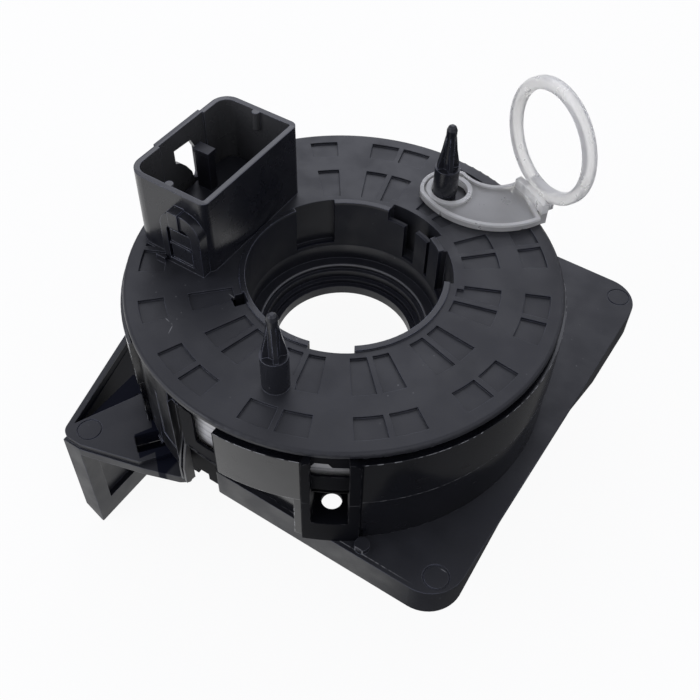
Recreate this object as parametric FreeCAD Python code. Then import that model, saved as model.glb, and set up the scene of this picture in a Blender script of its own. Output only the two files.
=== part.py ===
import FreeCAD, Part
import math
import os

# Steering clock spring: a stator with a square base, a rotor with a tall connector
# shroud and two driver pins, the wound flat cable between them, and a transport lock.
# Lengths are in millimetres. Origin: column axis, at the lower rim of the hub's bore.

os.makedirs("parts", exist_ok=True)

# Rotor disc
DISC_R = 53.0
DISC_TOP = 26.4
DISC_THICK = 1.5
DISC_EDGE_ROUND = 0.8
LABYRINTH_INSET = 1.5
LABYRINTH_WALL = 0.9
LABYRINTH_DEPTH = 2.6

# Moulded pockets in the disc's top
POCKET_DEPTH = 0.6
OUTER_POCKET_INSET = 3.5
OUTER_POCKET_LENGTH = 6.05
INNER_POCKET_SET_OUT = 3.24
INNER_POCKET_LENGTH = 10.5
POCKET_HALF_SPAN = 9.4
POCKET_RIB = 1.3
PAIR_ANGLES = (-105, -75, -45, -15, 15, 45, 75, 105, -155, 155)
SINGLE_ANGLES = (-130, 130)
SINGLE_HALF_SPAN = 4.3

# Collar round the column
COLLAR_R = 24.06
COLLAR_WALL = 3.1
COLLAR_BOTTOM = 12.0
COLLAR_LIP_WALL = 1.4
COLLAR_LIP_HEIGHT = 0.45
RECESS_DEPTH = 1.8
RECESS_HEIGHT = 13.3
COLLAR_RECESSES = ((129.5, 154.3), (284.0, 308.5))

# Deep gap in the collar, with the snap fingers and the stop beside it
LATCH_GAP = (61.3, 95.6)
LATCH_GAP_DEPTH = 3.4
STOP_GAP = (25.0, 49.5)
STOP_GAP_DEPTH = 2.25
BAND_MARGIN = 3.0
FINGERS = ((83.8, 96.0, 2.8), (64.2, 75.0, 2.2))
FINGER_WALL = 1.5

# Driver pins: radius and height above the disc of each step of the shaft and the fins
PIN_X = 6.45
PIN_Y = 37.15
PIN_FOOT_R = 3.2
PIN_FOOT_HEIGHT = 9.9
PIN_WAIST_R = 3.0
PIN_WAIST_HEIGHT = 2.4
PIN_STEPS = ((1.35, 9.9), (1.35, 21.3), (1.0, 22.2), (0.5, 22.6))
FIN_STEPS = ((2.75, 9.4), (2.7, 11.5), (1.85, 15.5), (1.3, 19.4))
FIN_WALL = 1.1
PIN_POCKET_MARGIN = 1.2
SHROUD_POCKET_MARGIN = 5.0

# Connector shroud on the disc
SHROUD_X = (-49.0, -25.8)
SHROUD_Y = (-18.6, 18.0)
SHROUD_HEIGHT = 21.0
SHROUD_WALL = 1.4
SHROUD_OUTER_ROUND = 4.6
SHROUD_INNER_ROUND = 1.9
SHROUD_DRAFT = 0.15
SHROUD_FLOOR = 0.4
SHROUD_STEP = 0.6
SHROUD_STEP_Y = (-8.0, 8.6)
WINDOW_OUTLINE = ((-3.0, 16.2), (-2.9, 12.4), (-1.1, 11.3), (0.6, 9.4), (2.4, 6.5), (2.9, 4.2),
                  (4.3, 3.3), (4.9, 4.4), (4.8, 12.5), (3.2, 15.8))
NIB_R = 1.0
NIB_REACH = 0.4
NIB_HEIGHT = 5.0

# Latch housing on the shroud's short face
HOUSING_X = (-38.2, -26.5)
HOUSING_REACH = 2.3
HOUSING_HEIGHT = 16.6
HOUSING_ARCH = 5.2
HOUSING_OPENING_X = (-36.4, -29.3)
HOUSING_OPENING_Z = (1.6, 12.6)
HOUSING_OPENING_ROUND = 2.4
TONGUE_WALL = 0.8
TONGUE_TOP = 10.8
TONGUE_GAP = 0.5
TONGUE_BAR = (6.3, 7.0)
CATCH_X = (-35.0, -32.1)
CATCH_Z = (12.3, 17.1)
HOOK_X = (-40.2, -37.5)
HOOK_Y = (-22.0, -21.2)
HOOK_HEIGHT = 1.3
RELIEF_ANGLE = 235.1
RELIEF_REACH = (24.9, 28.3)
RELIEF_WIDTH = 3.4
RELIEF_DEPTH = 4.0

# Hub that snaps on below the collar
BORE_R = 17.7
BORE_LENGTH = 2.6
HUB_LEDGE_R = 21.2
HUB_LEDGE_TOP = 7.3
HUB_SLEEVE_R = 26.4
HUB_FOOT_R = 28.8
HUB_FOOT_THICK = 1.3
HUB_FOOT_GAP = 0.4
HUB_STEP = 1.3
HUB_SKIN = 1.2

# Case that holds the wound cable
CASE_PROUD = 0.85
CASE_WALL = 1.8
RIM_GAP = 1.6
CASE_DEPTH = 14.9
CASE_FLOOR = 1.6
CASE_FOOT = 0.6
HUB_CLEARANCE = 0.5
CABLE_GAP = (259.8, 271.5)
CABLE_WINDOW = (264.3, 271.5)
CABLE_SILL = 13.2

# Lower case between the cable case and the base
LOWER_DEPTH = 15.5
LOWER_SET_BACK = 0.35
LOWER_WALL = 1.8
FRONT_RECESS_Y = -45.5
FRONT_RECESS_X = (-16.0, 19.5)
FRONT_TONGUE_END = -7.3
FRONT_TONGUE_DROP = 9.0
TONGUE_NOTCH = (-13.6, -10.2)
TONGUE_NOTCH_DEPTH = 2.2

# Alcove for the fixing screw
EAR_ANGLES = (293.4, 307.3)
EAR_PROUD = 0.7
EAR_TOP_DROP = 2.0
EAR_ROUND = 2.4
ALCOVE_ANGLES = (295.6, 304.6)
ALCOVE_FACE_DEPTH = 1.15
ALCOVE_DEPTH = 9.25
ALCOVE_FLOOR_DEPTH = 4.35
ALCOVE_WALL = 1.2
ALCOVE_SIDE_ANGLE = 1.4
LINTEL_RISE = 3.8
WINDOW_SILL = 17.1
WINDOW_TOPS = ((295.5, 20.6), (296.6, 22.2), (299.6, 22.2), (300.6, 20.8), (304.4, 20.8))
SHELF_TOP = 0.4
SHELF_THICK = 1.2
SCREW_R = 2.4
SCREW_X = 24.3
SCREW_Y = -41.6
SCREW_WAY_R = 3.2

# Base plate
BASE_X = 57.9
BASE_FRONT = -47.0
BASE_BACK = 68.5
BASE_ROUND = 9.0
BASE_THICK = 1.6
SKIRT_DEPTH = 9.2
SKIRT_WALL = 1.8
BASE_LEDGE = 1.7
RECESS_LEDGE = 1.0
ARCH_FOOT_Y = 38.0
ARCH_TOP_Y = 20.0
MARK_R = 3.0
MARK_GROOVE = 0.35
MARK_DEPTH = 0.25
MARKS = ((52.6, 63.2), (52.6, -41.4), (-40.0, -54.8))
RIB_WALL = 1.2
RIB_XS = (-36.0, 36.0)
RIB_Y = 60.0
RIB_FROM_Y = 40.0
RIB_SET_UP = 2.0
STAKE_R = 1.8
STAKE_HEIGHT = 1.6
STAKES = ((34.6, -44.4),)

# Wing at the base's left front corner
WING_BACK = (-57.9, -10.4)
WING_CORNER = (-45.0, -59.5)
WING_CORNER_ROUND = 3.2
WING_BEND = (-39.0, -59.5)
WING_TIP = (-23.3, -55.2)
WING_TIP_ROUND = 1.4
WING_HEEL = (-18.1, -48.2)
WING_JOIN = ((-16.6, -42.0), (-40.0, -10.4))
WING_WALL = 1.7
WING_WALL_DEPTH = 25.0
POCKET_FRONT = (-44.5, -55.6)
POCKET_INNER = (-36.1, -37.5)
POCKET_BACK_X = (-50.0, -56.1)
DRUM_LEDGE = 0.4
CLIP_HOLE = (-25.0, -48.7)
CLIP_HOLE_SIZE = (7.8, 5.2)
CLIP_TURN = 52.0
CLIP_ANGLES = (241.4, 244.2)
CLIP_SLOT_ANGLE = 0.9
CLIP_REACH = 0.9
CLIP_RISE = 6.5
FLANGE_DROP = 1.7
FLANGE_THICK = 2.6
FLANGE_EDGE = ((-22.1, -55.4), (-13.4, -52.4), (-10.9, -50.6))
FLANGE_BACK = ((-15.2, -46.6), (-20.0, -43.5), (-38.0, -48.0))

# Guide blade under the wing
BLADE_X = (-44.4, -39.2)
BLADE_Y = (-60.0, -34.0)
BLADE_BOTTOM = -44.1
BLADE_CHAMFER = 4.6
BLADE_BORDER = 4.6
BLADE_RECESS = 1.6

# Cable outlet cover: closes the case's left front, ends in a double rib
OUTLET_ANGLES = (236.5, 257.2)
OUTLET_DROP = 0.4
OUTLET_RIBS = ((257.3, 258.1), (258.9, 259.7))
OUTLET_RIB_BACK = 2.2
OUTLET_RIB_EDGE = ((1.25, 22.9), (1.85, 20.4), (1.85, 11.4), (1.55, 8.4), (0.45, 3.4), (-0.35, -1.6))
OUTLET_WEB = 0.35
OUTLET_CREASE = ((247.0, 16.4), (254.5, 10.4))
OUTLET_CREASE_DEPTH = 0.5

# Flat cable
CABLE_THICK = 0.3
CABLE_HEIGHT = 12.9
CABLE_EDGE_GAP = 0.3
CABLE_CLEARANCE = 0.15
CABLE_TIGHT_PITCH = 0.62
CABLE_TIGHT_TURNS = 6
CABLE_LOOSE_PITCH = 4.9
CABLE_LOOSE_TURNS = 3
SHEET_THICK = 0.2
SHEET_MARGIN = 0.8
SHEET_CLEARANCE = 0.2

# Junctions at the two ends of the cable
INNER_BLOCK_REACH = 3.6
INNER_BLOCK_SPAN = 18.0
INNER_BLOCK_HEIGHT = 11.0
OUTER_BLOCK_ANGLES = (238.5, 247.2)
OUTER_BLOCK_REACH = (9.9, 1.3)
OUTER_BLOCK_GAP = 0.3
CONTACT_SIZE = 0.64
CONTACT_PITCH = 2.5
CONTACT_COLUMNS = 5
CONTACT_ROWS = 2
CONTACT_ROW_GAP = 5.0
CONTACT_LENGTH = 9.0
CONTACTS_SET_OVER = (4.8, 3.0)
CARRIER_THICK = 3.0
CARRIER_MARGIN = 0.25
POST_X = (-46.0, -41.7)
POST_Y = (1.8, 4.3)
POST_HEIGHT = 15.6
POST_CAP = 1.2
POST_HOOK = 0.5

# Angle sensor in the lower case
CODE_R = 33.0
CODE_WALL = 0.9
CODE_PLATE = 1.2
CODE_SKIRT = 5.0
CODE_SLOTS = 30
BOARD_THICK = 1.6
BOARD_TOP = -1.6
BOARD_INNER_R = 36.5
BOARD_CLEARANCE = 1.9
BOARD_ANGLES = (-15.0, 195.0)
FORK_ANGLES = (60.0, 120.0)
FORK_SPAN = 12.0
FORK_ARM = 1.6
FORK_GAP = 0.8
FORK_STEP = 3.2
CHIP_ANGLES = (30.0, 90.0, 150.0)
CHIP_SIZE = (7.0, 5.0, 1.4)
COVER_THICK = 1.5
COVER_ANGLES = (-25.0, 205.0)
COVER_INNER_R = 34.5
PILLAR_R = 2.6
PILLAR_ANGLES = (5.0, 60.0, 120.0, 175.0)
PILLAR_INSET = 6.4
SCREW_SHANK_R = 1.1
SCREW_HEAD_R = 2.1
SCREW_HEAD = 1.3
SCREW_LENGTH = 6.0

# Socket under the board for the column's control unit
HEADER_X = 22.0
HEADER_Y = (38.6, 48.0)
HEADER_WALL = 1.2
HEADER_CLEARANCE = 0.3
HEADER_DEPTH = 11.0
HEADER_CONTACTS = 8
HEADER_CONTACT_LENGTH = 5.5

# Transport lock with its pull ring
LOCK_GAP = 0.1
LOCK_PLATE = 1.1
LOCK_RIM = 0.9
LOCK_RIM_WALL = 1.0
LOCK_EYE_X = 7.15
LOCK_EYE_Y = 38.4
LOCK_EYE_R = 4.7
LOCK_EYE_WALL = 1.3
LOCK_TIP = (1.4, 33.4)
LOCK_LOW = ((12.0, 29.9), (31.8, 41.6))
LOCK_BACK = (7.2, 46.6)
LOCK_LEFT = (0.6, 42.4)
LOCK_HIGH = ((15.4, 46.0), (20.6, 52.6))
LOCK_TAB_PROUD = 0.6
LOCK_TAB_ANGLES = (54.6, 67.6)
LOCK_TAB_WALL = 1.8
LOCK_TAB_DROP = 2.0
LOCK_FOOT = 4.0
LOCK_FOOT_ANGLE = 4.5
RING_ANGLE = 61.2
RING_SET_OUT = 3.9
RING_R = 16.1
RING_HOLE_R = 13.0
RING_THICK = 3.0
RING_RAISE = 2.7
RING_EDGE_ROUND = 0.9

# Worked out from the sizes above
DISC_UNDER = DISC_TOP - DISC_THICK
LABYRINTH_R = DISC_R - LABYRINTH_INSET - LABYRINTH_WALL
OUTER_POCKET_R = DISC_R - OUTER_POCKET_INSET
INNER_POCKET_R = COLLAR_R + INNER_POCKET_SET_OUT
OUTER_POCKETS = (OUTER_POCKET_R - OUTER_POCKET_LENGTH, OUTER_POCKET_R)
INNER_POCKETS = (INNER_POCKET_R, INNER_POCKET_R + INNER_POCKET_LENGTH)
CASE_TOP = DISC_UNDER - RIM_GAP
SEAM = CASE_TOP - CASE_DEPTH
FLOOR_TOP = SEAM
FLOOR_UNDER = SEAM - CASE_FLOOR
BASE_TOP = SEAM - LOWER_DEPTH
BASE_UNDER = BASE_TOP - BASE_THICK
BASE_BOTTOM = BASE_TOP - SKIRT_DEPTH
COLLAR_OUTER = COLLAR_R + COLLAR_WALL
CASE_R = DISC_R + CASE_PROUD
CASE_INNER = CASE_R - CASE_WALL
LOWER_R = CASE_R - LOWER_SET_BACK
LOWER_INNER = LOWER_R - LOWER_WALL
BASE_OPENING_R = LOWER_INNER - BASE_LEDGE
ALCOVE_FACE_R = CASE_R - ALCOVE_FACE_DEPTH
ALCOVE_BACK_R = CASE_R - ALCOVE_DEPTH
ALCOVE_FLOOR_R = CASE_R - ALCOVE_FLOOR_DEPTH
CABLE_OUTER_R = CASE_INNER - CASE_FOOT - CABLE_CLEARANCE
CABLE_LOW = FLOOR_TOP + SHEET_THICK + CABLE_EDGE_GAP
OUTER_BLOCK_R = tuple(LOWER_INNER - reach for reach in OUTER_BLOCK_REACH)
BOARD_OUTER_R = LOWER_INNER - BOARD_CLEARANCE
PILLAR_AT_R = LOWER_INNER - PILLAR_INSET
LOCK_TAB_R = DISC_R + LOCK_TAB_PROUD
RING_AT_R = DISC_R + RING_SET_OUT
SHROUD_TOP = DISC_TOP + SHROUD_HEIGHT
HUB_FOOT_TOP = FLOOR_UNDER - HUB_FOOT_GAP
HUB_FOOT_UNDER = HUB_FOOT_TOP - HUB_FOOT_THICK
FLANGE_TOP = BASE_TOP - FLANGE_DROP
FLANGE_UNDER = FLANGE_TOP - FLANGE_THICK
COVER_TOP = BASE_TOP + COVER_THICK
FAR = 200.0


def vec(x, y, z=0.0):
    return FreeCAD.Vector(x, y, z)


def polar(radius, degrees, z=0.0):
    turn = math.radians(degrees)
    return vec(radius * math.cos(turn), radius * math.sin(turn), z)


def cylinder(radius, low, high, x=0.0, y=0.0):
    return Part.makeCylinder(radius, high - low, vec(x, y, low))


def ring(outer, inner, low, high, x=0.0, y=0.0):
    return cylinder(outer, low, high, x, y).cut(cylinder(inner, low, high, x, y))


def block(xs, ys, low, high):
    return Part.makeBox(xs[1] - xs[0], ys[1] - ys[0], high - low, vec(xs[0], ys[0], low))


def sector(outer, inner, angles, low, high):
    """A piece of a ring between two angles in degrees."""
    start, end = angles
    middle = (start + end) / 2
    edges = [
        Part.Arc(polar(outer, start), polar(outer, middle), polar(outer, end)).toShape(),
        Part.LineSegment(polar(outer, end), polar(inner, end)).toShape(),
        Part.Arc(polar(inner, end), polar(inner, middle), polar(inner, start)).toShape(),
        Part.LineSegment(polar(inner, start), polar(outer, start)).toShape(),
    ]
    return raised(Part.Wire(edges), low, high)


def raised(wire, low, high):
    """A flat wire at z = 0, filled and raised between two heights."""
    face = Part.Face(wire)
    face.translate(vec(0, 0, low))
    return face.extrude(vec(0, 0, high - low))


def rounded(points, radii):
    """A closed outline whose corners have the given radii."""
    edges = []
    joints = []
    count = len(points)
    for i, radius in enumerate(radii):
        here = vec(*points[i])
        back = (vec(*points[i - 1]) - here).normalize()
        ahead = (vec(*points[(i + 1) % count]) - here).normalize()
        half = back.getAngle(ahead) / 2
        setback = radius / math.tan(half)
        bisector = (back + ahead).normalize()
        nearest = here + bisector * (radius / math.sin(half) - radius)
        joints.append((here + back * setback, nearest, here + ahead * setback, radius))
    for i, (start, nearest, end, radius) in enumerate(joints):
        if radius > 0:
            edges.append(Part.Arc(start, nearest, end).toShape())
        following = joints[(i + 1) % count][0]
        if (following - end).Length > 1e-6:
            edges.append(Part.LineSegment(end, following).toShape())
    return Part.Wire(edges)


def outline(points):
    return rounded(points, [0.0] * len(points))


def revolved(profile):
    """A closed profile of (radius, height) points, turned round the column axis."""
    corners = [vec(r, 0, z) for r, z in profile]
    face = Part.Face(Part.makePolygon(corners + corners[:1]))
    return face.revolve(vec(0, 0, 0), vec(0, 0, 1), 360)


def fused(shapes):
    first, rest = shapes[0], shapes[1:]
    return first.fuse(rest).removeSplitter() if rest else first


def slab(points, thickness, normal):
    """A flat polygon of 3-D points, thickened along its normal."""
    face = Part.Face(Part.makePolygon(points + points[:1]))
    return face.extrude(normal * thickness)


def save(name, shape):
    shape.exportStep("parts/" + name + ".step")


# Rotor

def pocket_angles():
    """Start and end of each pocket, and which side its rib is on."""
    for middle in PAIR_ANGLES:
        yield middle - POCKET_HALF_SPAN, middle, 1
        yield middle, middle + POCKET_HALF_SPAN, -1
    for middle in SINGLE_ANGLES:
        yield middle - SINGLE_HALF_SPAN, middle + SINGLE_HALF_SPAN, 0


def pockets(radii):
    inner, outer = radii
    low = DISC_TOP - POCKET_DEPTH
    cuts = []
    for start, end, _ in pocket_angles():
        cuts.append(sector(outer, inner, (start, end), low, DISC_TOP + 1))
    ribs = []
    for middle in PAIR_ANGLES:
        rib = block((inner - 1, outer + 1), (-POCKET_RIB / 2, POCKET_RIB / 2), low, DISC_TOP + 1)
        rib.rotate(vec(0, 0, 0), vec(0, 0, 1), middle)
        ribs.append(rib)
    return Part.makeCompound(cuts).cut(Part.makeCompound(ribs))


def pocket_keep_out():
    """Where the disc stays plain: round the pins and under the shroud."""
    plain = [cylinder(PIN_FOOT_R + PIN_POCKET_MARGIN, 0, FAR, PIN_X, side * PIN_Y) for side in (-1, 1)]
    margin = SHROUD_DRAFT + SHROUD_STEP
    plain.append(block((SHROUD_X[0] - margin, SHROUD_X[1] + SHROUD_POCKET_MARGIN),
                       (SHROUD_Y[0] - margin, SHROUD_Y[1] + margin), 0, FAR))
    plain.append(block((HOUSING_X[0] - margin, HOUSING_X[1] + margin),
                       (SHROUD_Y[0] - HOUSING_REACH - margin, SHROUD_Y[0]), 0, FAR))
    return plain


def driver_pin(side):
    """A straight foot from the disc's underside and a slim shaft with a domed tip."""
    foot = [(0, DISC_UNDER), (PIN_FOOT_R, DISC_UNDER), (PIN_FOOT_R, DISC_TOP + PIN_FOOT_HEIGHT)]
    upper = [(radius, DISC_TOP + height) for radius, height in PIN_STEPS]
    pin = fused([revolved(foot + upper + [(0, upper[-1][1])])] + pin_fins())
    pin.translate(vec(PIN_X, side * PIN_Y, 0))
    return pin


def pin_waist():
    """Groove round the back pin's foot, where the transport lock's eye lies."""
    outer = PIN_FOOT_R + PIN_POCKET_MARGIN
    return ring(outer, PIN_WAIST_R, DISC_TOP, DISC_TOP + PIN_WAIST_HEIGHT, PIN_X, PIN_Y)


def pin_fins():
    """Four fins that run from the foot's top into the shaft."""
    side = [vec(reach, -FIN_WALL / 2, DISC_TOP + height) for reach, height in FIN_STEPS]
    corners = side + [vec(-point.x, point.y, point.z) for point in reversed(side)]
    fins = []
    for turn in (45, 135):
        fin = slab(corners, FIN_WALL, vec(0, 1, 0))
        fin.rotate(vec(0, 0, 0), vec(0, 0, 1), turn)
        fins.append(fin)
    return fins


def shroud_outline(grow):
    xs = (SHROUD_X[0] - grow, SHROUD_X[1] + grow)
    ys = (SHROUD_Y[0] - grow, SHROUD_Y[1] + grow)
    points = [(xs[0], ys[0]), (xs[1], ys[0]), (xs[1], ys[1]), (xs[0], ys[1])]
    radii = [SHROUD_OUTER_ROUND + grow, max(SHROUD_INNER_ROUND + grow, 0.4),
             max(SHROUD_INNER_ROUND + grow, 0.4), SHROUD_OUTER_ROUND + grow]
    return rounded(points, radii)


def drafted(low_grow, high_grow, low, high):
    wires = []
    for grow, height in ((low_grow, low), (high_grow, high)):
        wire = shroud_outline(grow)
        wire.translate(vec(0, 0, height))
        wires.append(wire)
    return Part.makeLoft(wires, True, True)


def shroud_window():
    points = [vec(-FAR, y, DISC_TOP + height) for y, height in WINDOW_OUTLINE]
    return slab(points, FAR + SHROUD_X[0] + SHROUD_WALL * 2, vec(1, 0, 0))


def shroud():
    outside = drafted(SHROUD_DRAFT, 0.0, DISC_UNDER, SHROUD_TOP)
    left = SHROUD_X[0]
    step = block((left - SHROUD_STEP, left + SHROUD_WALL / 2), SHROUD_STEP_Y, DISC_TOP, SHROUD_TOP)
    inner_step = block((left - SHROUD_STEP + SHROUD_WALL, left + SHROUD_WALL * 2), SHROUD_STEP_Y,
                       DISC_TOP + SHROUD_FLOOR, SHROUD_TOP)
    inside = drafted(SHROUD_DRAFT - SHROUD_WALL, -SHROUD_WALL, DISC_TOP + SHROUD_FLOOR, SHROUD_TOP)
    nib_x = (SHROUD_X[0] + SHROUD_X[1]) / 2
    nibs = [cylinder(NIB_R, SHROUD_TOP - NIB_HEIGHT, SHROUD_TOP, nib_x, y)
            for y in (SHROUD_Y[0] + SHROUD_WALL + NIB_REACH, SHROUD_Y[1] - SHROUD_WALL - NIB_REACH)]
    walls = outside.fuse(step).cut(inside).cut(inner_step)
    return fused([walls] + nibs).cut(shroud_window())


def upright(xs, zs, rounds, y):
    """A face on a plane of constant y with rounded upper corners."""
    low, high = (DISC_TOP + z for z in zs)
    shape = rounded([(xs[0], low), (xs[1], low), (xs[1], high), (xs[0], high)], [0.0, 0.0, rounds, rounds])
    shape.rotate(vec(0, 0, 0), vec(1, 0, 0), 90)
    shape.translate(vec(0, y, 0))
    return Part.Face(shape)


def latch_housing():
    """An arched frame on the shroud's short face, with a spring tongue inside."""
    front = SHROUD_Y[0] - HOUSING_REACH
    back = SHROUD_Y[0] + SHROUD_WALL / 2
    face = upright(HOUSING_X, (-1, HOUSING_HEIGHT), HOUSING_ARCH, back)
    frame = face.extrude(vec(0, front - back, 0))
    mouth = upright(HOUSING_OPENING_X, HOUSING_OPENING_Z, HOUSING_OPENING_ROUND, SHROUD_Y[0])
    frame = frame.cut(mouth.extrude(vec(0, -HOUSING_REACH - 1, 0)))
    tongue_x = (HOUSING_OPENING_X[0] + TONGUE_GAP, HOUSING_OPENING_X[1] - TONGUE_GAP)
    tongue_front = front + TONGUE_GAP
    tongue = block(tongue_x, (tongue_front, tongue_front + TONGUE_WALL), DISC_TOP, DISC_TOP + TONGUE_TOP)
    bar = block(tongue_x, (front, back), *(DISC_TOP + height for height in TONGUE_BAR))
    catch = block(CATCH_X, (front - TONGUE_GAP, back), *(DISC_TOP + height for height in CATCH_Z))
    hook = block(HOOK_X, HOOK_Y, DISC_UNDER, DISC_TOP + HOOK_HEIGHT)
    return fused([frame, tongue, bar, catch, hook])


def collar():
    lip_top = DISC_TOP + COLLAR_LIP_HEIGHT
    tube = ring(COLLAR_OUTER, COLLAR_R, COLLAR_BOTTOM, DISC_TOP)
    thicker = (STOP_GAP[0] - BAND_MARGIN, LATCH_GAP[1] + BAND_MARGIN)
    tube = tube.fuse(sector(COLLAR_OUTER + RECESS_DEPTH, COLLAR_R, thicker, COLLAR_BOTTOM, DISC_TOP))
    return tube.fuse(ring(COLLAR_R + COLLAR_LIP_WALL, COLLAR_R, DISC_TOP - 1, lip_top))


def relief():
    """Small square recess in the disc beside the collar's lip."""
    cut = block(RELIEF_REACH, (-RELIEF_WIDTH / 2, RELIEF_WIDTH / 2), DISC_TOP - RELIEF_DEPTH, DISC_TOP + 1)
    cut.rotate(vec(0, 0, 0), vec(0, 0, 1), RELIEF_ANGLE)
    return cut


def collar_recesses():
    top = DISC_TOP + 1
    cuts = [sector(COLLAR_R + RECESS_DEPTH, COLLAR_R - 1, span, DISC_TOP - RECESS_HEIGHT, top)
            for span in COLLAR_RECESSES]
    for span, depth in ((LATCH_GAP, LATCH_GAP_DEPTH), (STOP_GAP, STOP_GAP_DEPTH)):
        cuts.append(sector(COLLAR_R + depth, COLLAR_R - 1, span, DISC_TOP - RECESS_HEIGHT, top))
    return cuts


def snap_fingers():
    """Two broad fingers that stand in the deep gap, a little lower than the disc."""
    foot = DISC_TOP - RECESS_HEIGHT - FINGER_WALL / 2
    return [sector(COLLAR_R + FINGER_WALL, COLLAR_R, (first, last), foot, DISC_TOP - drop)
            for first, last, drop in FINGERS]


def rotor_disc():
    plate = ring(DISC_R, COLLAR_R, DISC_UNDER, DISC_TOP)
    rim = [edge for edge in plate.Edges
           if abs(edge.BoundBox.XMax - DISC_R) < 1e-6 and abs(edge.BoundBox.ZMin - DISC_TOP) < 1e-6]
    plate = plate.makeFillet(DISC_EDGE_ROUND, rim)
    for radii in (OUTER_POCKETS, INNER_POCKETS):
        plate = plate.cut(pockets(radii).cut(Part.makeCompound(pocket_keep_out())))
    labyrinth = ring(LABYRINTH_R + LABYRINTH_WALL, LABYRINTH_R, DISC_UNDER - LABYRINTH_DEPTH, DISC_UNDER)
    body = fused([plate, labyrinth, collar(), driver_pin(-1), driver_pin(1)])
    body = body.cut(Part.makeCompound(collar_recesses() + [pin_waist()])).cut(relief())
    body = fused([body] + snap_fingers())
    floor = DISC_TOP + SHROUD_FLOOR
    hollow = drafted(SHROUD_DRAFT - SHROUD_WALL, -SHROUD_WALL, floor, SHROUD_TOP)
    body = body.cut(hollow)
    return fused([body, shroud(), latch_housing()])


def rotor_hub():
    profile = [
        (HUB_LEDGE_R, HUB_LEDGE_TOP), (COLLAR_R, HUB_LEDGE_TOP), (COLLAR_R, COLLAR_BOTTOM),
        (HUB_SLEEVE_R, COLLAR_BOTTOM), (HUB_SLEEVE_R, HUB_FOOT_TOP), (HUB_FOOT_R, HUB_FOOT_TOP),
        (HUB_FOOT_R, HUB_FOOT_UNDER), (COLLAR_R, HUB_FOOT_UNDER),
        (HUB_LEDGE_R + HUB_SKIN, HUB_FOOT_UNDER - HUB_SKIN), (HUB_LEDGE_R + HUB_SKIN, BORE_LENGTH),
        (BORE_R + HUB_SKIN, 0), (BORE_R, 0), (BORE_R, BORE_LENGTH),
        (BORE_R + HUB_STEP, BORE_LENGTH), (BORE_R + HUB_STEP, BORE_LENGTH + HUB_STEP),
        (HUB_LEDGE_R - 1, BORE_LENGTH + HUB_STEP), (HUB_LEDGE_R - 1, HUB_LEDGE_TOP - HUB_STEP),
        (HUB_LEDGE_R, HUB_LEDGE_TOP - HUB_STEP),
    ]
    return revolved(profile)


def inner_block():
    """Junction where the cable's inner end meets the contacts, on the collar."""
    half = INNER_BLOCK_SPAN / 2
    top = DISC_UNDER - SHEET_THICK
    return sector(COLLAR_OUTER + INNER_BLOCK_REACH, COLLAR_OUTER, (180 - half, 180 + half),
                  top - INNER_BLOCK_HEIGHT, top)


def contact_positions():
    x_middle = sum(SHROUD_X) / 2 + CONTACTS_SET_OVER[0]
    y_middle = sum(SHROUD_Y) / 2 + CONTACTS_SET_OVER[1]
    for row in range(CONTACT_ROWS):
        for column in range(CONTACT_COLUMNS):
            yield (x_middle + (row - (CONTACT_ROWS - 1) / 2) * CONTACT_ROW_GAP,
                   y_middle + (column - (CONTACT_COLUMNS - 1) / 2) * CONTACT_PITCH)


def contact_block(x, y, low, high):
    half = CONTACT_SIZE / 2
    return block((x - half, x + half), (y - half, y + half), low, high)


def contact_carrier():
    """Insert on the shroud's floor, with the tall locking post."""
    floor = DISC_TOP + SHROUD_FLOOR
    inset = SHROUD_DRAFT - SHROUD_WALL - CARRIER_MARGIN - 0.1
    plate = raised(shroud_outline(inset), floor, floor + CARRIER_THICK)
    post_top = DISC_TOP + POST_HEIGHT
    post = block(POST_X, POST_Y, floor + CARRIER_THICK, post_top)
    hook = block((POST_X[0], POST_X[1] + POST_HOOK), (POST_Y[0] - POST_HOOK, POST_Y[1]),
                 post_top - POST_CAP, post_top)
    holes = [contact_block(x, y, floor, FAR) for x, y in contact_positions()]
    return fused([plate, post, hook]).cut(Part.makeCompound(holes))


def shroud_contacts():
    floor = DISC_TOP + SHROUD_FLOOR
    return Part.makeCompound([contact_block(x, y, floor, floor + CONTACT_LENGTH)
                              for x, y in contact_positions()])


def upper_sheet():
    return ring(LABYRINTH_R - SHEET_MARGIN, COLLAR_OUTER + INNER_BLOCK_REACH + SHEET_MARGIN,
                DISC_UNDER - SHEET_THICK, DISC_UNDER)


def code_ring():
    top = HUB_FOOT_UNDER
    plate = ring(CODE_R, COLLAR_R, top - CODE_PLATE, top)
    skirt = ring(CODE_R, CODE_R - CODE_WALL, top - CODE_SKIRT, top)
    step = 360.0 / CODE_SLOTS
    slots = [sector(CODE_R + 1, CODE_R - 2, (i * step, (i + 0.45) * step),
                    top - CODE_SKIRT - 1, top - CODE_PLATE - 1) for i in range(CODE_SLOTS)]
    return plate.fuse(skirt).cut(Part.makeCompound(slots)).removeSplitter()


# Stator

def ear(low, high, top_round):
    """A raised frame on the case's face; its upper corners are rounded."""
    middle = sum(EAR_ANGLES) / 2
    half = CASE_R * math.sin(math.radians((EAR_ANGLES[1] - EAR_ANGLES[0]) / 2))
    corners = [(-half, low), (half, low), (half, high), (-half, high)]
    shape = rounded(corners, [0.0, 0.0, top_round, top_round])
    shape.rotate(vec(0, 0, 0), vec(1, 0, 0), 90)
    shape.rotate(vec(0, 0, 0), vec(0, 0, 1), 90)
    front = Part.Face(shape).extrude(vec(FAR, 0, 0))
    front.rotate(vec(0, 0, 0), vec(0, 0, 1), middle)
    return front.common(ring(CASE_R + EAR_PROUD, CASE_INNER + LOWER_SET_BACK, low, high))


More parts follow.
